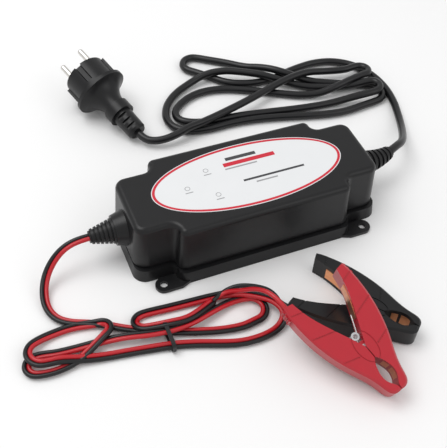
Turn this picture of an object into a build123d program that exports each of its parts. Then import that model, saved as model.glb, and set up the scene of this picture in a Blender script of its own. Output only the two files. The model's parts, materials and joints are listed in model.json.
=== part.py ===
from build123d import *
from math import cos, pi, radians, sin, tan
import os

# Car battery charger: a sealed charger case on a floor, a mains lead with a plug at its
# right end and a red and black twin lead with two spring clamps at its left end.
# Millimetres. +X along the case towards the mains lead, +Y to the back, +Z up.
# Origin: centre of the case's underside, on the floor.

os.makedirs("parts", exist_ok=True)

# ---- case ------------------------------------------------------------------
case_height = 45.7
tray_length = 187.0
tray_width = 85.6
tray_height = 9.6
tray_floor = 2.6
tray_taper = 8.0
shell_length = 184.0
shell_width = 77.4
shell_taper = 3.4
shell_wall = 2.4
shell_top_wall = 3.0
shell_edge_radius = 4.0
mid_block_length = 129.0
corner_notch = 10.7
end_corner_radius = 9.5
block_corner_radius = 6.6
notch_radius = 4.0
seal_height = 1.2
seal_inset = 0.7
seal_width = 1.4

ear_spacing_x = 153.0
ear_spacing_y = 78.8
ear_hole_radius = 2.6
ear_radius = 5.9
ear_thickness = 2.5
ear_reach = 11.8
ear_blend = 14.0

label_length = 141.0
label_width = 58.6
label_thickness = 0.6
label_clearance = 0.1
light_pipe_radius = 1.5
light_pipe_places = [(-27.3, 12.2), (-45.2, 0.2), (-27.3, -11.8)]

# ---- fasteners and board ----------------------------------------------------
case_screw_places = [(x, y) for x in (-80.0, 80.0) for y in (-17.0, 17.0)]
screw_shank_radius = 1.45
screw_hole_clearance = 0.25
screw_head_radius = 2.8
screw_head_height = 2.0
case_screw_length = 20.0
boss_radius = 3.6
board_thickness = 1.6
board_height = 8.0
board_clearance = 1.5
board_screw_places = [(x, y) for x in (-56.0, 56.0) for y in (-27.0, 27.0)]
board_screw_length = 6.0
board_post_radius = 3.0

transformer_place = (-4.0, -9.0)
transformer_size = (36.0, 14.0, 24.0)
transformer_leg = 7.0
winding_margin = 0.4
winding_overhang = 4.0
winding_corner_radius = 2.8
heat_sink_length = 84.0
heat_sink_clearance = 7.1
heat_sink_fin_share = 0.6
heat_sink_base = 3.0
heat_sink_fin_depth = 7.0
heat_sink_fin_count = 8
heat_sink_y = 22.0
transistor_width = 10.2
transistor_depth = 4.6
transistor_height = 16.0
transistor_count = 3
transistor_pitch = 22.0
mains_capacitor_radius = 9.0
mains_capacitor_height = 25.0
mains_capacitor_places = [(40, -20), (40, 0)]
output_capacitor_radius = 5.0
output_capacitor_height = 17.0
output_capacitor_places = [(-58, 12), (-58, 0), (-58, -12)]
mains_capacitor_edge_radius = 1.0
output_capacitor_edge_radius = 0.8
choke_radius = 7.5
choke_wire_radius = 3.2
choke_place = (62, 0)
fuse_radius = 2.6
fuse_length = 20.0
fuse_cap_length = 5.0
fuse_place = (52, -20)
led_radius = 1.5
led_height = 5.0

# ---- lead exits ---------------------------------------------------------------
lead_height = 24.0
neck_radius = 6.0
neck_flange_radius = 8.5
neck_flange_thickness = 2.0
dc_collar_radius = 13.0
dc_collar_tip_radius = 10.6
dc_collar_reach = 7.5
mains_collar_radius = 11.0
mains_collar_tip_radius = 9.6
mains_collar_reach = 5.0
dc_boot_length = 17.0
mains_boot_length = 24.0
mains_boot_bend = 24.0
boot_root_radius = 9.2
boot_tip_radius = 5.6
boot_core_share = 0.76
rib_count = 6
rib_share = 0.55
rib_core_overlap = 0.02

# ---- leads ----------------------------------------------------------------------
mains_diameter = 6.2
twin_width = 6.2
core_diameter = twin_width / 2
arc_share = 0.45
bundle_edge_radius = 2.5
mains_bundle_height = 13.0
twin_bundle_height = 8.0
tie_place = (-89.0, -81.5)
tie_span = 21.0
tie_width = 2.6
tie_thickness = 1.2
tie_corner_radius = 3.0

# ---- plug -----------------------------------------------------------------------
plug_end = (-47.4, 104.5, 8.1)
plug_heading = 110.7
plug_tilt = 14.0
plug_roll = 30.0
pin_spacing = 19.0
pin_radius = 2.4
pin_length = 19.0
plug_grip_length = 20.0
plug_grip_radius = 7.8
plug_grip_round = 1.2
plug_grip_end = 2.0
plug_shoulder_radius = 10.8
plug_shoulder_length = 8.5
plug_bell = [(0, 9.4, 9.4), (7, 10.2, 10.2), (13.5, 14.4, 12.8), (18.5, 22.2, 19.0)]
plug_flange_start = 50.0
plug_flange_thickness = 3.0
plug_body_radius = 17.8
plug_body_length = 70.0
plug_slot_width = 5.2
plug_slot_depth = 3.5
plug_slot_start = 3.0
plug_slot_corner = 1.0
plug_rail_depth = 1.8
plug_rail_sink = 0.6
plug_rail_width = 5.0
plug_rail_setback = 2.0
plug_front_radius = 1.2
grip_flare = 0.4
grip_slot_count = 3
grip_slot_start = 4.0
grip_slot_pitch = 5.5
grip_slot_length = 2.6
grip_slot_width = 8.0
grip_slot_depth = 1.8
pin_sink = 12.0

# ---- clamps ---------------------------------------------------------------------
clamp_thickness = 15.0
clamp_floor_gap = 0.1
red_clamp_lean = 5.0
clamp_nose = 33.0
clamp_gap = 0.3
pivot_radius = 2.0
pivot_clearance = 0.06
knuckle_radius = 4.3
knuckle_height = 6.0
knuckle_gap = 0.25
lug_height = 2.2
skin_height = 1.9
strip_thickness = 1.2
strip_width = 9.0
jaw_mouth_depth = 4.4
mouth_start = 8.5
mouth_end = 30.5
clamp_chamfer = 1.3
panel_groove_depth = 0.5
panel_groove_width = 1.0
panel_groove_places = (-40.0, -21.0, 0.0)
panel_groove_start = 7.0
panel_groove_end = 29.0
panel_groove_slant = 16.0
almond_half_length = 11.5
almond_half_width = 7.0
almond_groove_width = 0.7
bump_places = (-47.5, -44.5, -41.5)
bump_radius = 1.4
bump_height = 9.0
bump_line_y = 24.6
bump_line_slope = 0.1
pivot_length = 10.8
spring_wire = 0.6
spring_radius = 2.1
spring_height = 8.0
spring_place = -8.5
spring_leg_reach = 12.0
spring_tip_y = 7.4
crimp_radius = 2.1
crimp_length = 9.0
lead_entry_y = 21.5

shell_base = tray_height + seal_height
shell_end_width = shell_width - 2 * corner_notch


def block_outline(plane, grow_x, grow_y):
    """The case's plan: a wide middle block with narrower end blocks and S-shaped steps."""
    with BuildSketch(plane) as outline:
        Rectangle(shell_length + 2 * grow_x, shell_end_width + 2 * grow_y)
        Rectangle(mid_block_length + 2 * grow_x, shell_width + 2 * grow_y)
        by_x = outline.vertices().group_by(lambda corner: round(abs(corner.X), 3))
        fillet(by_x[-1], end_corner_radius)
        by_y = outline.vertices().group_by(lambda corner: round(abs(corner.Y), 3))
        fillet(by_y[-1], block_corner_radius)
        notch_corners = outline.vertices().filter_by(
            lambda corner: abs(abs(corner.X) - mid_block_length / 2 - grow_x) < 0.01
            and abs(abs(corner.Y) - shell_end_width / 2 - grow_y) < 0.01
        )
        fillet(notch_corners, notch_radius)
    return outline.sketch


def write(part, label):
    part.label = label
    export_step(part, f"parts/{label}.step")


# ---- case: tray, seal, shell, label -------------------------------------------
tray_grow_x = (tray_length - shell_length) / 2
tray_grow_y = (tray_width - shell_width) / 2
tray_sketch = block_outline(Plane.XY, tray_grow_x, tray_grow_y)
seal_hollow = -seal_inset - seal_width
board_inset = -shell_wall - board_clearance
cavity_sketch = block_outline(Plane.XY.offset(tray_floor), -shell_wall, -shell_wall)
ear_places = [
    (x * ear_spacing_x / 2, y * ear_spacing_y / 2) for x in (-1, 1) for y in (-1, 1)
]

with BuildPart() as base_tray:
    extrude(tray_sketch, amount=tray_height, taper=tray_taper)
    extrude(cavity_sketch, amount=tray_height, mode=Mode.SUBTRACT)
    with BuildSketch() as ears:
        with Locations(*ear_places):
            Circle(ear_radius)
        for x, y in ear_places:
            inward = -1 if x > 0 else 1
            outer = y + ear_radius if y > 0 else y - ear_radius
            Polygon(
                (x, outer),
                (x + inward * ear_reach, outer),
                (x + inward * (ear_reach + ear_blend), y),
                (x, y),
                align=None,
            )
            with Locations((x + inward * ear_radius, y)):
                Rectangle(2 * ear_radius, 2 * ear_radius)
        add(block_outline(Plane.XY, -shell_wall, -shell_wall), mode=Mode.SUBTRACT)
    extrude(amount=ear_thickness)
    with Locations(*[(x, y, tray_floor) for x, y in case_screw_places]):
        Cylinder(
            boss_radius,
            shell_base - tray_floor,
            align=(Align.CENTER, Align.CENTER, Align.MIN),
        )
    with Locations(*[(x, y, tray_floor) for x, y in board_screw_places]):
        Cylinder(
            board_post_radius,
            board_height - tray_floor,
            align=(Align.CENTER, Align.CENTER, Align.MIN),
        )
    with Locations(*[(x, y, ear_thickness) for x, y in ear_places]):
        Hole(ear_hole_radius)
    with Locations(Plane(origin=(0, 0, 0), x_dir=(1, 0, 0), z_dir=(0, 0, -1))):
        with Locations(*[(x, -y) for x, y in case_screw_places]):
            CounterBoreHole(
                screw_shank_radius + screw_hole_clearance,
                screw_head_radius + screw_hole_clearance,
                screw_head_height + screw_hole_clearance,
            )
    with Locations(*[(x, y, board_height) for x, y in board_screw_places]):
        Hole(screw_shank_radius, depth=board_height - tray_floor - 1)
write(base_tray.part, "base_tray")

with BuildPart() as seal:
    extrude(
        block_outline(Plane.XY.offset(tray_height), -seal_inset, -seal_inset), amount=seal_height
    )
    extrude(
        block_outline(Plane.XY.offset(tray_height), seal_hollow, seal_hollow),
        amount=seal_height,
        mode=Mode.SUBTRACT,
    )
write(seal.part, "case_seal")

shell_height = case_height - shell_base
wall_lean = tan(radians(shell_taper))
# half the shell's length at the height of the leads
exit_x = shell_length / 2 - (lead_height - shell_base) * wall_lean


def exit_plane(side):
    """The plane at the case's end wall that a lead leaves along its normal."""
    return Plane(origin=(side * exit_x, 0, lead_height), x_dir=(0, 1, 0), z_dir=(side, 0, 0))


def cone(plane, start, root, tip, reach, mode=Mode.ADD):
    with BuildSketch(plane.offset(start)) as root_ring:
        Circle(root)
    with BuildSketch(plane.offset(start + reach)) as tip_ring:
        Circle(tip)
    loft([root_ring.sketch.face(), tip_ring.sketch.face()], mode=mode)


with BuildPart() as shell:
    extrude(
        block_outline(Plane.XY.offset(shell_base), 0, 0),
        amount=shell_height,
        taper=shell_taper,
    )
    fillet(shell.faces().sort_by(Axis.Z)[-1].edges(), shell_edge_radius)
    extrude(
        block_outline(Plane.XY.offset(shell_base), -shell_wall, -shell_wall),
        amount=shell_height - shell_top_wall,
        taper=shell_taper,
        mode=Mode.SUBTRACT,
    )
    with Locations(*[(x, y, shell_base) for x, y in case_screw_places]):
        Cylinder(
            boss_radius,
            shell_height - shell_top_wall / 2,
            align=(Align.CENTER, Align.CENTER, Align.MIN),
        )
    cone(exit_plane(-1), -1, dc_collar_radius, dc_collar_tip_radius, dc_collar_reach + 1)
    cone(exit_plane(1), -1, mains_collar_radius, mains_collar_tip_radius, mains_collar_reach + 1)
    with BuildSketch(Plane.YZ.offset(-shell_length)) as neck_hole:
        with Locations((0, lead_height)):
            Circle(neck_radius)
    extrude(amount=2 * shell_length, mode=Mode.SUBTRACT)
    with BuildSketch(Plane.XY.offset(case_height - label_thickness)) as recess:
        Ellipse(label_length / 2 + label_clearance, label_width / 2 + label_clearance)
    extrude(amount=2 * label_thickness, mode=Mode.SUBTRACT)
    with BuildSketch(Plane.XY.offset(case_height)) as pipe_holes:
        with Locations(*light_pipe_places):
            Circle(light_pipe_radius)
    extrude(amount=-2 * shell_top_wall, mode=Mode.SUBTRACT)
    with BuildSketch(Plane.XY.offset(shell_base)) as pilot_holes:
        with Locations(*case_screw_places):
            Circle(screw_shank_radius)
    extrude(amount=case_screw_length, mode=Mode.SUBTRACT)
write(shell.part, "upper_shell")

with BuildPart() as label_plate:
    with BuildSketch(Plane.XY.offset(case_height - label_thickness)):
        Ellipse(label_length / 2, label_width / 2)
    extrude(amount=label_thickness)
write(label_plate.part, "label_plate")

with BuildPart() as light_pipes:
    with BuildSketch(Plane.XY.offset(board_height + board_thickness + led_height)):
        with Locations(*light_pipe_places):
            Circle(light_pipe_radius)
    extrude(
        amount=case_height - label_thickness - board_height - board_thickness - led_height
    )
write(light_pipes.part, "light_pipes")


# ---- screws ---------------------------------------------------------------------
def screw(place, head_plane_z, length, upwards):
    """A pan-head screw: its head's inner face at head_plane_z, shank along +Z or -Z."""
    direction = 1 if upwards else -1
    with BuildSketch(Plane.XY.offset(head_plane_z)) as shank:
        with Locations(place):
            Circle(screw_shank_radius)
    extrude(shank.sketch, amount=direction * length)
    with BuildSketch(Plane.XY.offset(head_plane_z)) as head:
        with Locations(place):
            Circle(screw_head_radius)
    extrude(head.sketch, amount=-direction * screw_head_height)


with BuildPart() as case_screws:
    for place in case_screw_places:
        screw(place, screw_head_height + screw_hole_clearance, case_screw_length, True)
write(case_screws.part, "case_screws")

board_top = board_height + board_thickness
with BuildPart() as board_screws:
    for place in board_screw_places:
        screw(place, board_top, board_screw_length, False)
write(board_screws.part, "board_screws")

# ---- electronics ------------------------------------------------------------------
with BuildPart() as circuit_board:
    extrude(
        block_outline(Plane.XY.offset(board_height), board_inset, board_inset),
        amount=board_thickness,
    )
    with BuildSketch(Plane.XY.offset(board_height)) as board_holes:
        with Locations(*board_screw_places):
            Circle(screw_shank_radius)
        with Locations(*case_screw_places):
            Circle(boss_radius + board_clearance)
    extrude(amount=board_thickness, mode=Mode.SUBTRACT)
write(circuit_board.part, "circuit_board")

core_length, core_depth, core_height = transformer_size
window_width = (core_length - 3 * transformer_leg) / 2
on_board = Plane(origin=(*transformer_place, board_top))
with BuildPart() as transformer_core:
    with BuildSketch(on_board):
        Rectangle(core_length, core_depth)
    extrude(amount=core_height)
    with BuildSketch(on_board.offset(transformer_leg / 2)):
        for side in (-1, 1):
            with Locations((side * (transformer_leg + window_width) / 2, 0)):
                Rectangle(window_width, core_depth)
    extrude(amount=core_height - transformer_leg, mode=Mode.SUBTRACT)
write(transformer_core.part, "transformer_core")

with BuildPart() as transformer_winding:
    with BuildSketch(on_board.offset(transformer_leg / 2 + winding_margin)):
        RectangleRounded(
            transformer_leg + 2 * (window_width - winding_margin),
            core_depth + 2 * winding_overhang,
            winding_corner_radius,
        )
        Rectangle(
            transformer_leg + 2 * winding_margin,
            core_depth + 2 * winding_margin,
            mode=Mode.SUBTRACT,
        )
    extrude(amount=core_height - transformer_leg - 2 * winding_margin)
write(transformer_winding.part, "transformer_winding")

fin_pitch = heat_sink_length / heat_sink_fin_count
heat_sink_height = case_height - shell_top_wall - board_top - heat_sink_clearance
with BuildPart() as heat_sink:
    with BuildSketch(Plane.XY.offset(board_top)):
        with Locations((0, heat_sink_y)):
            Rectangle(heat_sink_length, heat_sink_base)
        with Locations((0, heat_sink_y + (heat_sink_base + heat_sink_fin_depth) / 2)):
            with GridLocations(fin_pitch, 1, heat_sink_fin_count, 1):
                Rectangle(heat_sink_base * heat_sink_fin_share, heat_sink_fin_depth)
    extrude(amount=heat_sink_height)
write(heat_sink.part, "heat_sink")

with BuildPart() as power_transistors:
    with BuildSketch(Plane.XY.offset(board_top)):
        with Locations((0, heat_sink_y - (heat_sink_base + transistor_depth) / 2)):
            with GridLocations(transistor_pitch, 1, transistor_count, 1):
                Rectangle(transistor_width, transistor_depth)
    extrude(amount=transistor_height)
write(power_transistors.part, "power_transistors")


def standing_cylinders(places, radius, height):
    with BuildSketch(Plane.XY.offset(board_top)) as rounds:
        with Locations(*places):
            Circle(radius)
    extrude(rounds.sketch, amount=height)


with BuildPart() as mains_capacitors:
    standing_cylinders(mains_capacitor_places, mains_capacitor_radius, mains_capacitor_height)
    fillet(mains_capacitors.faces().sort_by(Axis.Z)[-2:].edges(), mains_capacitor_edge_radius)
write(mains_capacitors.part, "mains_capacitors")

with BuildPart() as output_capacitors:
    standing_cylinders(output_capacitor_places, output_capacitor_radius, output_capacitor_height)
    tops = output_capacitors.faces().sort_by(Axis.Z)[-3:]
    fillet(tops.edges(), output_capacitor_edge_radius)
write(output_capacitors.part, "output_capacitors")

with BuildPart() as mains_choke:
    with Locations((*choke_place, board_top + choke_radius + choke_wire_radius)):
        Torus(choke_radius, choke_wire_radius, rotation=(0, 90, 0))
write(mains_choke.part, "mains_choke")

with BuildPart() as mains_fuse:
    with BuildSketch(Plane.YZ.offset(fuse_place[0])) as fuse_body:
        with Locations((fuse_place[1], board_top + fuse_radius)):
            Circle(fuse_radius * 0.85)
    with BuildSketch(Plane.YZ.offset(fuse_place[0])) as fuse_cap:
        with Locations((fuse_place[1], board_top + fuse_radius)):
            Circle(fuse_radius)
    extrude(fuse_body.sketch, amount=fuse_length / 2)
    extrude(fuse_cap.sketch, amount=fuse_cap_length / 2)
    with BuildSketch(Plane.YZ.offset(52 + fuse_length / 2 - fuse_cap_length / 2)) as far_cap:
        with Locations((fuse_place[1], board_top + fuse_radius)):
            Circle(fuse_radius)
    extrude(far_cap.sketch, amount=fuse_cap_length / 2)
write(mains_fuse.part, "mains_fuse")

with BuildPart() as indicator_leds:
    with BuildSketch(Plane.XY.offset(board_top)):
        with Locations(*light_pipe_places):
            Circle(led_radius)
    extrude(amount=led_height)
write(indicator_leds.part, "indicator_leds")


# ---- strain reliefs -------------------------------------------------------------
def strain_relief(side, collar_reach, length, bend):
    """A ribbed boot on a bent core, with a neck and a flange inside the wall."""
    plane = exit_plane(side)
    inside = -shell_wall - 2
    with BuildSketch(plane.offset(inside)) as neck:
        Circle(neck_radius)
    extrude(neck.sketch, amount=collar_reach - inside)
    with BuildSketch(plane.offset(inside - neck_flange_thickness)) as flange:
        Circle(neck_flange_radius)
    extrude(flange.sketch, amount=neck_flange_thickness)
    station = plane.offset(collar_reach)
    rib_pitch = length / rib_count
    radius = boot_root_radius
    shrink = (boot_root_radius - boot_tip_radius) / (rib_count - 1)
    for rib in range(rib_count):
        cone(station, 0, radius, radius - shrink / 2, rib_pitch * rib_share)
        core_radius = radius * boot_core_share
        cone(station, 0, core_radius, core_radius, rib_pitch * (1 + rib_core_overlap))
        radius -= shrink
        station = station.offset(rib_pitch)
        station = Plane(
            origin=station.origin,
            x_dir=station.x_dir,
            z_dir=Vector(station.z_dir).rotate(Axis.Z, bend / rib_count),
        )
    return station.offset(rib_pitch * rib_core_overlap)


with BuildPart() as dc_strain_relief:
    dc_exit = strain_relief(-1, dc_collar_reach, dc_boot_length, 0)
write(dc_strain_relief.part, "dc_strain_relief")

with BuildPart() as mains_strain_relief:
    mains_exit = strain_relief(1, mains_collar_reach, mains_boot_length, mains_boot_bend)
write(mains_strain_relief.part, "mains_strain_relief")


# ---- plug -----------------------------------------------------------------------
def heading_plane(origin, heading, tilt, roll):
    """A plane whose normal points along a heading in the floor, tilted up, then rolled."""
    forward = Vector(
        cos(radians(heading)) * cos(radians(tilt)),
        sin(radians(heading)) * cos(radians(tilt)),
        sin(radians(tilt)),
    )
    across = Vector(sin(radians(heading)), -cos(radians(heading)), 0)
    rolled = across * cos(radians(roll)) + across.cross(forward) * sin(radians(roll))
    return Plane(origin=origin, x_dir=rolled, z_dir=forward)


plug_plane = heading_plane(plug_end, plug_heading, plug_tilt, plug_roll)
pin_sides = (-pin_spacing / 2, pin_spacing / 2)
shoulder_end = plug_grip_length + plug_shoulder_length

with BuildPart() as plug_body:
    cone(plug_plane, 0, plug_grip_radius - plug_grip_round, plug_grip_radius, plug_grip_end)
    cone(
        plug_plane,
        plug_grip_end,
        plug_grip_radius,
        plug_grip_radius + grip_flare,
        plug_grip_length - plug_grip_end,
    )
    cone(
        plug_plane,
        plug_grip_length,
        plug_shoulder_radius,
        plug_shoulder_radius,
        plug_shoulder_length,
    )
    bell_sections = []
    for reach, across, upward in plug_bell:
        with BuildSketch(plug_plane.offset(shoulder_end + reach)) as section:
            Ellipse(across, upward)
        bell_sections.append(section.sketch)
    loft(bell_sections)
    with BuildSketch(plug_plane.offset(plug_flange_start - plug_flange_thickness)) as rim:
        Ellipse(plug_bell[-1][1], plug_bell[-1][2])
    extrude(rim.sketch, amount=plug_flange_thickness)
    with BuildSketch(plug_plane.offset(plug_flange_start)) as front:
        Circle(plug_body_radius)
    extrude(front.sketch, amount=plug_body_length - plug_flange_start)
    fillet(plug_body.faces().sort_by(Axis(plug_end, plug_plane.z_dir))[-1].edges(), plug_front_radius)
    for side in (-1, 1):
        with BuildSketch(plug_plane.offset(plug_flange_start + plug_slot_start)) as slot:
            with Locations((0, side * plug_body_radius)):
                RectangleRounded(plug_slot_width, 2 * plug_slot_depth, plug_slot_corner)
        extrude(slot.sketch, amount=plug_body_length, mode=Mode.SUBTRACT)
        with BuildSketch(plug_plane.offset(plug_flange_start)) as rail:
            rail_depth = plug_rail_depth + plug_rail_sink
            rail_x = plug_body_radius - plug_rail_sink + rail_depth / 2
            with Locations((side * rail_x, 0)):
                Rectangle(rail_depth, plug_rail_width)
        rail_length = plug_body_length - plug_flange_start - plug_rail_setback
        extrude(rail.sketch, amount=rail_length)
        for step in range(grip_slot_count):
            slot_start = grip_slot_start + grip_slot_pitch * step
            with BuildSketch(plug_plane.offset(slot_start)) as grip_slot:
                with Locations((0, side * plug_grip_radius)):
                    Rectangle(grip_slot_width, 2 * grip_slot_depth)
            extrude(grip_slot.sketch, amount=grip_slot_length, mode=Mode.SUBTRACT)
    with BuildSketch(plug_plane.offset(plug_body_length)) as pin_holes:
        with Locations(*[(x, 0) for x in pin_sides]):
            Circle(pin_radius)
    extrude(pin_holes.sketch, amount=-pin_sink, mode=Mode.SUBTRACT)
write(plug_body.part, "plug_body")

with BuildPart() as plug_pins:
    with BuildSketch(plug_plane.offset(plug_body_length - pin_sink)) as pins:
        with Locations(*[(x, 0) for x in pin_sides]):
            Circle(pin_radius)
    extrude(pins.sketch, amount=pin_length + pin_sink)
    tips = plug_pins.faces().sort_by(Axis(plug_end, plug_plane.z_dir))[-2:]
    fillet(tips.edges(), pin_radius * 0.8)
write(plug_pins.part, "plug_pins")

# ---- clamps ---------------------------------------------------------------------
# Each clamp in its own plane: origin on the pivot, x towards the nose, z along the pivot.
# The black one lies on the floor, the red one leans on top of it.
half_clamp = clamp_thickness / 2
black_clamp_plane = Plane(
    origin=(41.3, -111.9, half_clamp + clamp_floor_gap),
    x_dir=(0.653, -0.757, 0),
    z_dir=(0, 0, 1),
)
red_clamp_plane = Plane(
    origin=(19.0, -139.9, 3 * half_clamp - red_clamp_lean),
    x_dir=(0.316, -0.908, -0.275),
    z_dir=(-0.122, -0.327, 0.937),
)
skin_start = half_clamp - skin_height


def mouth_points(side):
    """The hollow between the jaws, from its end at the pivot to its end at the nose."""
    shape = ((0, 0), (0.22, 0.66), (0.5, 1), (0.8, 0.62), (1, 0.03))
    length = mouth_end - mouth_start
    return [
        (mouth_start + share * length, side * (clamp_gap + depth * jaw_mouth_depth))
        for share, depth in shape
    ]


def contact_edge(side):
    """The strip's inner face: handle, round the pivot, jaw mouth and nose."""
    return Spline(
        (-38, side * 15.9),
        (-30, side * 13.4),
        (-14, side * 6.9),
        (-7, side * 5.3),
        (0, side * 5.2),
        (5, side * 3.2),
        *mouth_points(side)[1:],
    )


def arm_outline(plane, side):
    """One arm from above: handle, back of the pivot, jaw and nose, on one side of y = 0."""
    with BuildSketch(plane) as outline:
        with BuildLine():
            outer = Spline(
                (-49, side * 24.5),
                (-40, side * 25.5),
                (-20, side * 24),
                (4, side * 17),
                (24, side * 9),
                (clamp_nose, side * clamp_gap),
                tangents=[(1, side * 0.3), (-0.15, -side)],
            )
            jaw = Spline(outer @ 1, *mouth_points(side)[::-1], tangents=[(-1, 0), (-1, -side * 0.7)])
            seam = Line(jaw @ 1, (0, side * clamp_gap))
            inner = Spline(
                seam @ 1,
                (-14, side * 6.6),
                (-32, side * 14.5),
                (-48, side * 18.5),
                tangents=[(-1, side * 0.42), (-1, side * 0.15)],
            )
            Line(inner @ 1, outer @ 0)
        make_face()
    return outline.sketch


def strip_outline(plane, side):
    with BuildSketch(plane) as outline:
        with BuildLine():
            near = contact_edge(side)
            add(near.moved(Location((0, side * strip_thickness, 0))))
            Line(near @ 0, near @ 0 + Vector(0, side * strip_thickness))
            Line(near @ 1, near @ 1 + Vector(0, side * strip_thickness))
        make_face()
    return outline.sketch


def ring(plane, start, radius, height, mode):
    with BuildSketch(plane.offset(start)) as disc:
        Circle(radius)
    extrude(disc.sketch, amount=height, mode=mode)


def crimp_plane(plane):
    """Where the lead enters the cable arm: normal points out of the arm."""
    entry = plane.from_local_coords((-49, -lead_entry_y, 0))
    return Plane(origin=entry, x_dir=plane.z_dir, z_dir=-plane.x_dir)


def engrave_panels(face, side):
    """Grooves across an arm and half of the almond round the pivot, on one broad face."""
    middle = (panel_groove_start + panel_groove_end) / 2
    with BuildSketch(face) as grooves:
        for x in panel_groove_places:
            with Locations(Location((x, side * middle, 0), (0, 0, side * panel_groove_slant))):
                Rectangle(panel_groove_width, panel_groove_end - panel_groove_start)
        Ellipse(almond_half_length, almond_half_width)
        Ellipse(
            almond_half_length - almond_groove_width,
            almond_half_width - almond_groove_width,
            mode=Mode.SUBTRACT,
        )
    extrude(grooves.sketch, amount=-panel_groove_depth, mode=Mode.SUBTRACT)


def clamp_arm(plane, side):
    """A moulded arm with its half of the hinge and the groove that holds its strip."""
    turned_over = Plane(plane.origin, plane.x_dir, -plane.z_dir)
    room = knuckle_radius + knuckle_gap
    lug_start = knuckle_height / 2 + knuckle_gap
    extrude(arm_outline(plane.offset(-half_clamp), side), amount=clamp_thickness)
    outer_edges = edges().sort_by(SortBy.LENGTH)[-2:]
    chamfer(outer_edges, clamp_chamfer)
    for x in bump_places:
        outer_y = bump_line_y + (x - bump_places[0]) * bump_line_slope
        center = plane.from_local_coords((x, side * outer_y, 0))
        bump_plane = Plane(center, plane.x_dir, plane.z_dir)
        ring(bump_plane, -bump_height / 2, bump_radius, bump_height, Mode.ADD)
    engrave_panels(plane.offset(half_clamp), side)
    engrave_panels(turned_over.offset(half_clamp), -side)
    if side > 0:
        ring(plane, knuckle_height / 2, room, skin_start - knuckle_height / 2, Mode.SUBTRACT)
        ring(turned_over, knuckle_height / 2, room, skin_start - knuckle_height / 2, Mode.SUBTRACT)
        ring(plane, -knuckle_height / 2, knuckle_radius, knuckle_height, Mode.ADD)
        ring(plane, -skin_start, pivot_radius + pivot_clearance, 2 * skin_start, Mode.SUBTRACT)
    else:
        ring(plane, -lug_start, room, 2 * lug_start, Mode.SUBTRACT)
        ring(plane, lug_start, knuckle_radius, lug_height, Mode.ADD)
        ring(turned_over, lug_start, knuckle_radius, lug_height, Mode.ADD)
        ring(plane, -skin_start, pivot_radius, 2 * skin_start, Mode.SUBTRACT)
        ring(crimp_plane(plane).offset(-crimp_length), 0, crimp_radius, crimp_length, Mode.SUBTRACT)
    extrude(
        strip_outline(plane.offset(-strip_width / 2), side),
        amount=strip_width,
        mode=Mode.SUBTRACT,
    )


def make_clamp(colour, plane):
    with BuildPart() as cable_arm:
        clamp_arm(plane, -1)
    write(cable_arm.part, f"{colour}_cable_arm")
    with BuildPart() as handle_arm:
        clamp_arm(plane, 1)
    write(handle_arm.part, f"{colour}_handle_arm")
    for arm, side in (("cable", -1), ("handle", 1)):
        with BuildPart() as strip:
            extrude(strip_outline(plane.offset(-strip_width / 2), side), amount=strip_width)
        write(strip.part, f"{colour}_{arm}_jaw")
    with BuildPart() as pivot:
        ring(plane, -pivot_length / 2, pivot_radius, pivot_length, Mode.ADD)
    write(pivot.part, f"{colour}_clamp_pivot")
    with BuildPart() as crimp:
        ring(crimp_plane(plane).offset(-crimp_length), 0, crimp_radius, crimp_length, Mode.ADD)
        fillet(crimp.edges(), 0.5)
    write(crimp.part, f"{colour}_lead_crimp")
    coil_plane = Plane(plane.from_local_coords((spring_place, 0, 0)), plane.x_dir, plane.z_dir)
    with BuildPart() as spring:
        ring(coil_plane, -spring_height / 2, spring_radius + spring_wire, spring_height, Mode.ADD)
        ring(coil_plane, -spring_height / 2, spring_radius - spring_wire, spring_height, Mode.SUBTRACT)
        for side in (-1, 1):
            leg_z = side * (spring_height / 2 - 2 * spring_wire)
            foot = plane.from_local_coords((spring_place, side * spring_radius, leg_z))
            tip = plane.from_local_coords((spring_place - spring_leg_reach, side * spring_tip_y, leg_z))
            with BuildSketch(Plane(origin=foot, z_dir=tip - foot)) as leg:
                Circle(spring_wire)
            extrude(leg.sketch, amount=(tip - foot).length)
    write(spring.part, f"{colour}_clamp_spring")


make_clamp("black", black_clamp_plane)
make_clamp("red", red_clamp_plane)


# ---- leads: tubes where they run free, a closed solid for each bundle -------------
def cord_tube(label, route, diameter):
    """A round tube along straight runs joined by arcs as large as the runs allow."""
    points = [Vector(point) for point in route]
    radii = []
    for before, corner, after in zip(points, points[1:], points[2:]):
        turn = radians((corner - before).get_angle(after - corner))
        shorter_run = min((corner - before).length, (after - corner).length)
        radii.append(arc_share * shorter_run / tan(turn / 2))
    with BuildPart() as tube:
        with BuildLine() as path:
            FilletPolyline(*points, radius=radii)
        with BuildSketch(Plane(origin=points[0], z_dir=points[1] - points[0])):
            Circle(diameter / 2)
        sweep()
    write(tube.part, label)
    length = path.wire().length
    expected = pi * diameter**2 / 4 * length
    print(label, "length", round(length), "volume share", round(tube.part.volume / expected, 4))
    print("  arc radii in diameters", [round(radius / diameter, 1) for radius in radii])


def bundle(outline_points, height):
    """The outer shape of a bundle of turns lying on the floor."""
    with BuildSketch():
        with BuildLine():
            Spline(*outline_points, periodic=True)
        outline = make_face()
    solid = extrude(outline, amount=height)
    fillet(solid.faces().sort_by(Axis.Z)[-1].edges(), bundle_edge_radius)


mains_route = [
    tuple(mains_exit.origin),
    tuple(mains_exit.origin + mains_exit.z_dir * 9),
    (138, 14, 20),
    (148, 27, 13),
    (156.5, 41, 7),
    (164, 57, 3.6),
    (170, 75, 3.2),
    (172.5, 94, 3.2),
    (170, 113, 3.2),
    (161.5, 130, 3.2),
    (146, 141.5, 3.2),
    (128, 145, 3.2),
    (111, 143, 3.2),
    (98, 140, 3.4),
]
cord_tube("mains_lead", mains_route, mains_diameter)

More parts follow.
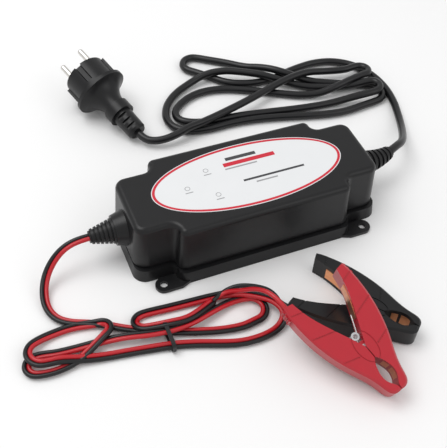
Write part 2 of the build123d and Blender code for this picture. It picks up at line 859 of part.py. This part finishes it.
mains_bundle_outline = [
    (97, 143),
    (70, 160),
    (42, 180),
    (21, 186),
    (18, 170),
    (5, 157),
    (-19, 138),
    (-20, 104),
    (10, 89),
    (60, 86),
    (100, 74),
    (145, 74),
    (168, 95),
    (168, 117),
    (142, 126),
    (116, 131),
]
with BuildPart() as mains_lead_bundle:
    bundle(mains_bundle_outline, mains_bundle_height)
write(mains_lead_bundle.part, "mains_lead_bundle")

mains_end_route = [
    (-8, 95.5, 9.6),
    (-18, 92.4, 8.4),
    (-28, 91.2, 7),
    (-37, 92.6, 6.1),
    tuple(plug_plane.origin - plug_plane.z_dir * 8),
    plug_end,
]
cord_tube("mains_lead_end", mains_end_route, mains_diameter)

twin_route = [
    tuple(dc_exit.origin),
    (-124, 0, 24),
    (-134, -1, 21),
    (-143, -4.5, 15),
    (-150, -11, 9),
    (-154, -20, 4.4),
    (-155, -31, 3.2),
    (-150.6, -41.2, 3.2),
    (-143.5, -47.5, 3.2),
    (-133.5, -51.5, 3.4),
    (-124, -56, 3.6),
]
cord_tube("twin_lead", twin_route, twin_width)

twin_bundle_outline = [
    (-177, -66),
    (-162, -52),
    (-130, -54),
    (-95, -56),
    (-55, -57),
    (-27, -65),
    (-16, -80),
    (-22, -98),
    (-50, -105),
    (-85, -94),
    (-130, -83),
    (-162, -81),
]
tie_outer_height = twin_bundle_height + tie_thickness
with BuildPart() as cable_tie:
    with BuildSketch(Plane.YZ.offset(tie_place[0])):
        with Locations((tie_place[1], tie_outer_height / 2)):
            RectangleRounded(tie_span, tie_outer_height, tie_corner_radius)
            RectangleRounded(
                tie_span - 2 * tie_thickness,
                tie_outer_height - 2 * tie_thickness,
                tie_corner_radius - tie_thickness,
                mode=Mode.SUBTRACT,
            )
    extrude(amount=tie_width)
write(cable_tie.part, "cable_tie")

with BuildPart() as twin_lead_bundle:
    bundle(twin_bundle_outline, twin_bundle_height)
    add(cable_tie.part, mode=Mode.SUBTRACT)
write(twin_lead_bundle.part, "twin_lead_bundle")

red_entry = crimp_plane(red_clamp_plane)
red_tail_route = [
    tuple(red_entry.origin),
    tuple(red_entry.origin + red_entry.z_dir * 7),
    (-23, -85.5, 28),
    (-28, -77.5, 23),
    (-34, -71.5, 16),
    (-41, -68, 9),
]
cord_tube("red_lead", red_tail_route, core_diameter)

black_entry = crimp_plane(black_clamp_plane)
black_tail_route = [
    tuple(black_entry.origin),
    tuple(black_entry.origin + black_entry.z_dir * 6),
    (-13.5, -80.5, 9),
    (-19.5, -77, 10.6),
    (-28, -76, 10.4),
    (-36, -81, 7.5),
]
cord_tube("black_lead", black_tail_route, core_diameter)
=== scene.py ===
import bpy
import json
from math import cos, pi, radians, sin
from mathutils import Matrix, Vector


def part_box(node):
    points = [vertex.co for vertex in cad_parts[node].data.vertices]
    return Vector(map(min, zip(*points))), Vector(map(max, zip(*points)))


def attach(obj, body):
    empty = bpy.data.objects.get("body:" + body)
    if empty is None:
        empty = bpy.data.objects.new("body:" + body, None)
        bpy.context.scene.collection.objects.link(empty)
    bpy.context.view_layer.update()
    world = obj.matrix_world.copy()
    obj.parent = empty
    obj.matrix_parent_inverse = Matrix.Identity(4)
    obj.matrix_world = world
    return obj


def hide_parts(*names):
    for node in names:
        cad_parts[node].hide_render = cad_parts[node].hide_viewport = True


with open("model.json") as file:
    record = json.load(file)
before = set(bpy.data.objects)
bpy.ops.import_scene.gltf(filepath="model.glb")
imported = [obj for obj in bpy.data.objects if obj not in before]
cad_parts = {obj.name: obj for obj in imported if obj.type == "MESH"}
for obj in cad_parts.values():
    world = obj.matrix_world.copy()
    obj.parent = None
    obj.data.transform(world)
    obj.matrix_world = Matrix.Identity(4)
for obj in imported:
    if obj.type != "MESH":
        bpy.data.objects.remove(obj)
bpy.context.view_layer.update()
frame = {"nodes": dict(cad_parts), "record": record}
MM = 0.001
UP = Vector((0, 0, 1))

# The camera as fitted to the case's edges: where it stands and how it is turned.
camera_place = (-0.1787, -0.3467, 0.4354)
camera_heading, camera_down, camera_roll = -25.05, 48.78, 3.77
camera_sensor, camera_lens = 36, 63.8

floor_half = 4.0
floor_drop = 0.0003

# Leads, in mm. The twin's two cores lie side by side and the pair rocks as it runs.
mains_radius_mm = 3.1
twin_core_mm = 1.55
twin_half_pitch_mm = 1.45
twin_lean = 0.3
twin_lean_length = 0.055
twin_sides = 14

# Print on the label, in mm.
print_lift_mm = 0.05
lamp_places = [(-27.3, 12.2), (-45.2, 0.2), (-27.3, -11.8)]
lamp_ring_radii_mm = (1.9, 1.5)
lamp_ring_count = 32
lamp_line_drop, lamp_line_length, lamp_line_width = 4, 5.5, 0.7


# ---- camera, light and floor ---------------------------------------------------
def add_camera():
    data = bpy.data.cameras.new("camera")
    data.sensor_width = camera_sensor
    data.lens = camera_lens
    camera = bpy.data.objects.new("camera", data)
    bpy.context.scene.collection.objects.link(camera)
    turn = (
        Matrix.Rotation(radians(camera_heading), 4, "Z")
        @ Matrix.Rotation(radians(90 - camera_down), 4, "X")
        @ Matrix.Rotation(radians(camera_roll), 4, "Z")
    )
    camera.matrix_world = Matrix.Translation(camera_place) @ turn
    bpy.context.scene.camera = camera


def area_light(name, place, target, size, power):
    data = bpy.data.lights.new(name, "AREA")
    data.shape = "RECTANGLE"
    data.size, data.size_y = size
    data.energy = power
    light = bpy.data.objects.new(name, data)
    bpy.context.scene.collection.objects.link(light)
    light.location = place
    light.rotation_euler = (Vector(target) - Vector(place)).to_track_quat("-Z", "Y").to_euler()


def add_studio():
    world = bpy.data.worlds.new("studio")
    world.use_nodes = True
    background = world.node_tree.nodes["Background"]
    background.inputs["Color"].default_value = (1.0, 1.0, 1.0, 1)
    background.inputs["Strength"].default_value = 0.75
    bpy.context.scene.world = world
    bpy.context.scene.view_settings.view_transform = "Standard"
    area_light("key", (-0.5, 0.35, 1.3), (0, 0, 0), (1.0, 0.8), 9)
    area_light("fill", (0.7, -0.8, 0.9), (0, 0, 0), (0.8, 0.8), 2)
    half = floor_half
    mesh = bpy.data.meshes.new("floor")
    corners = [(-half, -half, 0), (half, -half, 0), (half, half, 0), (-half, half, 0)]
    mesh.from_pydata(corners, [], [(0, 1, 2, 3)])
    floor = bpy.data.objects.new("floor", mesh)
    bpy.context.scene.collection.objects.link(floor)
    floor.location.z = -floor_drop
    mesh.materials.append(Material("floor", (0.86, 0.86, 0.86), 0.7).data)


# ---- materials -------------------------------------------------------------------
class Material:
    """A Principled material that grain, mottle and gloss variation are added to."""

    def __init__(self, name, color, roughness, metallic=0.0, coat=0.0, specular=0.5):
        self.data = bpy.data.materials.new(name)
        self.data.use_nodes = True
        self.tree = self.data.node_tree
        self.shader = self.tree.nodes["Principled BSDF"]
        self.set("Base Color", (*color, 1))
        self.set("Roughness", roughness)
        self.set("Metallic", metallic)
        self.set("Coat Weight", coat)
        self.set("Specular IOR Level", specular)
        self.color = color
        self.place = self.tree.nodes.new("ShaderNodeTexCoord").outputs["Object"]

    def set(self, socket, value):
        self.shader.inputs[socket].default_value = value

    def node(self, kind, **values):
        node = self.tree.nodes.new(kind)
        for socket, value in values.items():
            node.inputs[socket.replace("_", " ")].default_value = value
        return node

    def link(self, start, end):
        self.tree.links.new(start, end)

    def noise(self, size_mm, detail=4.0):
        noise = self.node("ShaderNodeTexNoise", Scale=1 / (size_mm * MM), Detail=detail)
        self.link(self.place, noise.inputs["Vector"])
        return noise.outputs["Fac"]

    def grain(self, size_mm, depth_mm, strength=0.5):
        bump = self.node("ShaderNodeBump", Strength=strength, Distance=depth_mm * MM)
        self.link(self.noise(size_mm), bump.inputs["Height"])
        self.link(bump.outputs["Normal"], self.shader.inputs["Normal"])
        return self

    def gloss(self, size_mm, low, high):
        spread = self.node("ShaderNodeMapRange", To_Min=low, To_Max=high)
        self.link(self.noise(size_mm, 6.0), spread.inputs["Value"])
        self.link(spread.outputs["Result"], self.shader.inputs["Roughness"])
        return self

    def mottle(self, size_mm, share):
        ramp = self.tree.nodes.new("ShaderNodeValToRGB")
        ends = ramp.color_ramp.elements
        ends[0].color = (*[c * (1 - share) for c in self.color], 1)
        ends[1].color = (*[min(1, c * (1 + share)) for c in self.color], 1)
        self.link(self.noise(size_mm), ramp.inputs["Fac"])
        self.link(ramp.outputs["Color"], self.shader.inputs["Base Color"])
        return self


def black_plastic(name, shade, low, high):
    made = Material(name, (shade, shade, shade * 1.1), low, specular=0.32)
    return made.grain(0.35, 0.03, 0.35).gloss(9, low, high).mottle(6, 0.15).data


looks = {
    "case_plastic": black_plastic("case_plastic", 0.007, 0.3, 0.4),
    "seal_rubber": black_plastic("seal_rubber", 0.006, 0.5, 0.6),
    "relief_black": black_plastic("relief_black", 0.007, 0.36, 0.46),
    "tie_black": black_plastic("tie_black", 0.012, 0.3, 0.4),
    "plug_black": black_plastic("plug_black", 0.007, 0.3, 0.42),
    "clamp_black": black_plastic("clamp_black", 0.007, 0.28, 0.38),
    "package_epoxy": black_plastic("package_epoxy", 0.02, 0.4, 0.5),
    "lead_black": Material("lead_black", (0.006, 0.006, 0.007), 0.3, specular=0.4)
    .grain(1.2, 0.02).gloss(5, 0.26, 0.36).data,
    "lead_red": Material("lead_red", (0.46, 0.006, 0.014), 0.3)
    .grain(1.2, 0.02).gloss(5, 0.26, 0.36).data,
    "clamp_red": Material("clamp_red", (0.42, 0.006, 0.018), 0.3, coat=0.1)
    .grain(0.4, 0.02, 0.3).gloss(8, 0.26, 0.36).mottle(7, 0.06).data,
    "label_film": Material("label_film", (0.72, 0.73, 0.74), 0.34)
    .grain(0.5, 0.008, 0.3).mottle(15, 0.02).data,
    "copper": Material("copper", (0.8, 0.36, 0.18), 0.28, 1.0)
    .grain(0.5, 0.03).gloss(3, 0.22, 0.4).mottle(2, 0.12).data,
    "nickel": Material("nickel", (0.68, 0.66, 0.63), 0.22, 1.0)
    .grain(0.4, 0.01).gloss(3, 0.16, 0.3).data,
    "zinc_steel": Material("zinc_steel", (0.62, 0.63, 0.65), 0.3, 1.0)
    .grain(0.5, 0.02).gloss(3, 0.24, 0.4).data,
    "spring_steel": Material("spring_steel", (0.66, 0.66, 0.67), 0.24, 1.0)
    .grain(0.3, 0.01).gloss(2, 0.2, 0.32).data,
    "heat_sink_metal": Material("heat_sink_metal", (0.66, 0.67, 0.7), 0.35, 1.0)
    .grain(0.6, 0.02).gloss(6, 0.3, 0.45).data,
    "board_laminate": Material("board_laminate", (0.02, 0.14, 0.05), 0.35)
    .grain(0.8, 0.01).mottle(4, 0.1).data,
    "core_steel": Material("core_steel", (0.06, 0.06, 0.07), 0.45)
    .grain(0.5, 0.04).gloss(4, 0.4, 0.55).data,
    "winding_tape": Material("winding_tape", (0.7, 0.5, 0.05), 0.35)
    .grain(2, 0.04).mottle(5, 0.08).data,
    "capacitor_sleeve": Material("capacitor_sleeve", (0.01, 0.02, 0.08), 0.25)
    .grain(1, 0.01).gloss(5, 0.2, 0.3).data,
    "choke_ferrite": Material("choke_ferrite", (0.3, 0.08, 0.03), 0.35)
    .grain(1, 0.08).mottle(2, 0.2).data,
    "fuse_glass": Material("fuse_glass", (0.8, 0.82, 0.82), 0.1).gloss(2, 0.05, 0.15).data,
    "led_lens": Material("led_lens", (0.55, 0.03, 0.02), 0.2).gloss(2, 0.15, 0.25).data,
    "light_pipe": Material("light_pipe", (0.5, 0.52, 0.52), 0.15).gloss(2, 0.1, 0.2).data,
    "label_red": Material("label_red", (0.55, 0.01, 0.03), 0.34)
    .grain(0.5, 0.008, 0.3).mottle(12, 0.04).data,
    "label_ink": Material("label_ink", (0.04, 0.04, 0.045), 0.4)
    .grain(0.5, 0.008, 0.3).mottle(10, 0.1).data,
    "label_grey": Material("label_grey", (0.3, 0.3, 0.31), 0.4)
    .grain(0.5, 0.008, 0.3).mottle(10, 0.1).data,
}


def paint_cad_nodes():
    slot_of = {part["node"]: part["material_slot"] for part in frame["record"]["subparts"]}
    for name, obj in frame["nodes"].items():
        for index in range(len(obj.material_slots)):
            obj.material_slots[index].material = looks[slot_of[name]]


def mesh_object(name, vertices, faces, look, body, smooth=True):
    mesh = bpy.data.meshes.new(name)
    mesh.from_pydata([tuple(v) for v in vertices], [], faces)
    mesh.materials.append(looks[look])
    mesh.shade_smooth() if smooth else mesh.shade_flat()
    obj = bpy.data.objects.new(name, mesh)
    bpy.context.scene.collection.objects.link(obj)
    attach(obj, body)
    return obj


def nurbs(name, points_mm, radius_mm, look):
    """A round cord on one NURBS spline; with no look it is only a guide line."""
    data = bpy.data.curves.new(name, "CURVE")
    data.dimensions = "3D"
    data.resolution_u = 12
    spline = data.splines.new("NURBS")
    spline.points.add(len(points_mm) - 1)
    for point, place in zip(spline.points, points_mm):
        point.co = (*[value * MM for value in place], 1)
    spline.order_u = 3
    spline.use_endpoint_u = True
    obj = bpy.data.objects.new(name, data)
    bpy.context.scene.collection.objects.link(obj)
    if look:
        data.bevel_depth = radius_mm * MM
        data.bevel_resolution = 6
        data.use_fill_caps = True
        data.materials.append(looks[look])
    return obj


def line_of(points_mm, name):
    """Points read from the NURBS spline of a route, in metres; the guide is removed."""
    guide = nurbs(name, points_mm, 0, None)
    bpy.context.view_layer.update()
    mesh = bpy.data.meshes.new_from_object(guide)
    points = [vertex.co.copy() for vertex in mesh.vertices]
    bpy.data.objects.remove(guide)
    bpy.data.meshes.remove(mesh)
    return points


def length_of(points):
    return sum((b - a).length for a, b in zip(points, points[1:]))


# ---- mains lead --------------------------------------------------------------------
mains_free = [
    (119.68, 4.14, 24), (127.9, 7.8, 24), (138, 14, 20), (148, 27, 13), (156.5, 41, 7),
    (164, 57, 3.6), (170, 75, 3.2), (172.5, 94, 3.2), (170, 113, 3.2), (161.5, 130, 3.2),
    (146, 141.5, 3.2), (128, 145, 3.2), (111, 143, 3.2), (98, 140, 3.4),
]
mains_turns = [
    (84, 136, 3.2), (68, 136, 3.2), (53, 140, 3.2), (42, 147, 3.2), (34, 157, 3.2),
    (24, 167, 3.2), (18, 173, 3.2), (17.5, 179.9, 3.2), (21.6, 185.6, 3.2), (28.4, 187.2, 3.2),
    (34.5, 183.9, 3.2), (40, 180, 3.2), (55, 170, 3.2), (68, 158, 4), (78, 149, 8),
    (88, 140, 9.6), (99, 131, 8), (112, 123, 3.6), (127, 116, 3.2), (142, 109, 3.2),
    (157, 102, 3.2), (163.1, 99.2, 3.2), (166.4, 93.2, 3.2), (165.6, 86.4, 3.2), (161, 81.4, 3.2),
    (155, 80.2, 3.2), (142, 79, 3.2), (126, 77, 3.2), (108, 79, 3.2), (88, 84, 3.2),
    (66, 90, 3.2), (46, 94, 3.2), (28, 95.5, 3.2), (10, 94.5, 3.2), (-6, 97, 3.2),
    (-17, 105, 3.2), (-20, 118, 3.2), (-14, 133, 3.2), (-2, 145, 3.4), (14, 153, 4), (30, 156, 8),
    (46, 153, 9.7), (60, 146, 9.7), (75, 137, 9.7), (90, 128, 6), (105, 117.5, 3.4),
    (125, 109.5, 3.4), (142, 102.5, 6), (157.8, 100.5, 9), (162.8, 98, 9.5), (164.8, 93, 9.7),
    (162.8, 88, 9.7), (157.8, 85.5, 9.5), (148, 85.8, 9), (134, 88.5, 6), (117, 90, 3.4),
    (90, 93, 3.2), (64, 97.5, 3.2), (43, 101, 3.2), (26, 102.5, 3.2), (11, 103, 3.2),
    (-3, 107, 3.2), (-11, 114, 3.2), (-10, 124, 3.2), (0, 133, 3.2), (13, 139, 3.2),
    (27, 140, 3.2), (41, 137, 3.2), (57, 130, 3.2), (72, 122, 3.2), (85, 114.5, 3.2),
    (98, 108, 3.4), (113, 103.5, 4.4), (130, 102.5, 9.4), (143, 105, 10.6), (157, 108, 10.4),
    (162.1, 108.7, 10), (165.3, 113.2, 9.4), (164.6, 118.5, 8.9), (160.5, 122.1, 8.5),
    (154.5, 122.4, 8.3), (146, 121.5, 8), (128, 126.5, 7.4), (112, 127, 10.6), (94, 124.5, 10.6),
    (76, 119.5, 10), (60, 113.5, 9.8), (45, 108.5, 9.8), (30, 104, 9.8), (14, 99.5, 9.8),
    (1, 96.5, 9.8),
]
mains_tail = [
    (-8, 95.5, 9.6), (-18, 92.4, 8.4), (-28, 91.2, 7), (-37, 92.6, 6.1), (-44.66, 97.24, 6.16),
    (-47.4, 104.5, 8.1),
]


def add_mains_lead():
    route = mains_free + mains_turns + mains_tail
    length = length_of(line_of(route, "mains_guide"))
    cord = nurbs("mains_cord", route, mains_radius_mm, "lead_black")
    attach(cord, "charger")
    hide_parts("mains_lead", "mains_lead_bundle", "mains_lead_end")


# ---- twin lead ---------------------------------------------------------------------
twin_free = [
    (-115.72, 0, 24), (-124, 0, 24), (-134, -1, 21), (-143, -4.5, 15), (-150, -11, 9),
    (-154, -20, 4.4), (-155, -31, 2.4), (-151.5, -41, 2.2), (-143.5, -47.5, 2.2),
    (-133.5, -51.5, 2.2), (-124, -56, 2.2),
]
twin_turns = [
    (-112, -64, 2.2), (-99, -71, 2.4), (-86, -76.5, 2.4), (-71, -82, 2.2), (-55, -87, 2.2),
    (-40, -89.5, 2.2), (-31, -88.3, 2.3), (-24.1, -87.3, 2.4), (-19.8, -82, 2.4),
    (-19.9, -75.3, 2.4), (-24.4, -70.2, 2.4), (-30, -69, 2.4), (-39, -68.5, 2.6), (-54, -72.5, 5),
    (-69, -77, 5.8), (-84, -78, 5.8), (-99, -76, 5.8), (-114, -72, 5.6), (-129, -69, 3.4),
    (-144, -68, 2.4), (-158, -67, 2.4), (-166, -64.9, 2.2), (-172.6, -64.7, 2.2),
    (-176.7, -67.6, 2.2), (-177.7, -72.5, 2.2), (-175, -76.7, 2.2), (-170, -78.4, 2.2),
    (-160, -79.5, 2.2), (-146, -77, 2.4), (-135, -72, 5.2), (-127, -67.5, 7),
    (-122.1, -64.5, 6.9), (-120.9, -59.6, 5.4), (-123.4, -55.2, 3.6), (-130, -53.6, 2.4),
    (-144, -51, 2.2), (-158, -52, 2.2), (-167, -54.8, 4), (-172.2, -57.8, 5), (-174.9, -63.1, 6),
    (-173.8, -69, 6.4), (-169.5, -73.1, 6.4), (-164, -74, 6.2), (-156, -74.5, 6),
    (-143, -77.5, 3.4), (-129, -80, 2.2), (-115, -82, 2.2), (-100, -84.5, 2.2), (-86, -87, 2.2),
    (-71, -91.5, 2.2), (-57, -97, 2.2), (-44, -101, 2.2), (-30, -101.5, 2.2), (-17.5, -99, 2.4),
    (-9.5, -91.5, 5.4), (-12, -81, 6.4), (-22, -71.5, 6), (-35, -64, 5), (-50, -60.5, 2.4),
    (-66, -59.5, 2.2), (-82, -58.5, 2.2), (-94, -57.4, 2.2), (-100.4, -57.6, 2.2),
    (-104.1, -60.4, 2.6), (-105, -64.9, 3.8), (-102.7, -69, 5.4), (-98, -71.2, 6.4),
    (-85, -74, 8.4), (-73, -75.5, 8.6), (-62, -72, 8.2), (-52, -67, 6.8),
]
red_free = [
    (-52, -67, 6.8), (-46, -64, 7), (-40, -65, 10), (-34, -71.5, 16), (-28, -77.5, 23),
    (-23, -85.5, 28), (-18.91, -94.75, 28.33), (-16.7, -101.1, 26.4),
]
black_free = [
    (-52, -67, 6.8), (-43, -62.5, 8), (-33, -63, 10.5), (-24, -67, 11.2), (-15.5, -72.5, 10.6),
    (-12, -78.5, 9.6), (-10.92, -84.26, 7.6), (-7, -88.8, 7.6),
]


def tube_ring(center, across, upward, radius, count):
    ring = []
    for i in range(count):
        angle = 2 * pi * i / count
        ring.append(center + across * (cos(angle) * radius) + upward * (sin(angle) * radius))
    return ring


def add_twin_lead():
    points = line_of(twin_free + twin_turns, "twin_guide")
    sides = twin_sides
    vertices, faces, look_of_face = [], [], []
    step = length_of(points) / len(points)
    for core, side in enumerate((1, -1)):
        start = len(vertices)
        for i, point in enumerate(points):
            ahead = (points[min(i + 1, len(points) - 1)] - points[max(i - 1, 0)]).normalized()
            across = ahead.cross(UP).normalized()
            upward = across.cross(ahead)
            lean = twin_lean * sin(i * step / twin_lean_length)
            flat = across * cos(lean) + upward * sin(lean)
            center = point + flat * (side * twin_half_pitch_mm * MM)
            vertices += tube_ring(center, across, upward, twin_core_mm * MM, sides)
        for i in range(len(points) - 1):
            for j in range(sides):
                a, b = start + i * sides + j, start + i * sides + (j + 1) % sides
                faces.append((a, b, b + sides, a + sides))
                look_of_face.append(core)
        for ring in (start, start + (len(points) - 1) * sides):
            faces.append(tuple(range(ring, ring + sides)))
            look_of_face.append(core)
    cord = mesh_object("twin_cord", vertices, faces, "lead_black", "charger")
    cord.data.materials.append(looks["lead_red"])
    for polygon, core in zip(cord.data.polygons, look_of_face):
        polygon.material_index = core
    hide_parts("twin_lead", "twin_lead_bundle")


def add_core(colour, route):
    length = length_of(line_of(route, f"{colour}_guide"))
    cord = nurbs(f"{colour}_core", route, twin_core_mm, f"lead_{colour}")
    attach(cord, "charger")
    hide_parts(f"{colour}_lead")


# ---- label ---------------------------------------------------------------------------
label_low, label_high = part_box("label_plate")
label_half = ((label_high[0] - label_low[0]) / 2, (label_high[1] - label_low[1]) / 2)
print_height = label_high[2] + print_lift_mm * MM


def ellipse_ring(name, outer_inset_mm, inner_inset_mm, look, count=120):
    vertices = []
    for inset in (outer_inset_mm * MM, inner_inset_mm * MM):
        for i in range(count):
            angle = 2 * pi * i / count
            x = (label_half[0] - inset) * cos(angle)
            y = (label_half[1] - inset) * sin(angle)
            vertices.append((x, y, print_height))
    faces = [(i, (i + 1) % count, count + (i + 1) % count, count + i) for i in range(count)]
    mesh_object(name, vertices, faces, look, "charger")


def bar(name, x, y, length, width, look):
    corners = [(-1, -1), (1, -1), (1, 1), (-1, 1)]
    vertices = [
        ((x + sx * length / 2) * MM, (y + sy * width / 2) * MM, print_height)
        for sx, sy in corners
    ]
    mesh_object(name, vertices, [(0, 1, 2, 3)], look, "charger", smooth=False)


def lamp_window(name, x, y):
    count = lamp_ring_count
    vertices = []
    for radius in lamp_ring_radii_mm:
        for i in range(count):
            angle = 2 * pi * i / count
            edge_x = x * MM + radius * MM * cos(angle)
            edge_y = y * MM + radius * MM * sin(angle)
            vertices.append((edge_x, edge_y, print_height))
    faces = [(i, (i + 1) % count, count + (i + 1) % count, count + i) for i in range(count)]
    mesh_object(name, vertices, faces, "label_grey", "charger")
    bar(f"{name}_line", x, y - lamp_line_drop, lamp_line_length, lamp_line_width, "label_grey")


def add_label_print():
    ellipse_ring("label_edge", 0.0, 0.6, "label_film")
    ellipse_ring("label_border", 0.6, 2.5, "label_red")
    for index, (x, y) in enumerate(lamp_places):
        lamp_window(f"lamp_window_{index}", x, y)
    bar("maker_bar", 1, 17.7, 23, 3.0, "label_ink")
    bar("title_bar", 5.6, 12.6, 39, 3.6, "label_red")
    bar("caption_line", -2, 8.6, 24, 1.2, "label_grey")
    bar("lower_line", 17, -5.5, 46, 1.8, "label_ink")
    bar("lower_short_line", 10, -9.3, 16, 1.2, "label_grey")


add_camera()
add_mains_lead()
add_twin_lead()
add_core("red", red_free)
add_core("black", black_free)
paint_cad_nodes()
add_label_print()
add_studio()
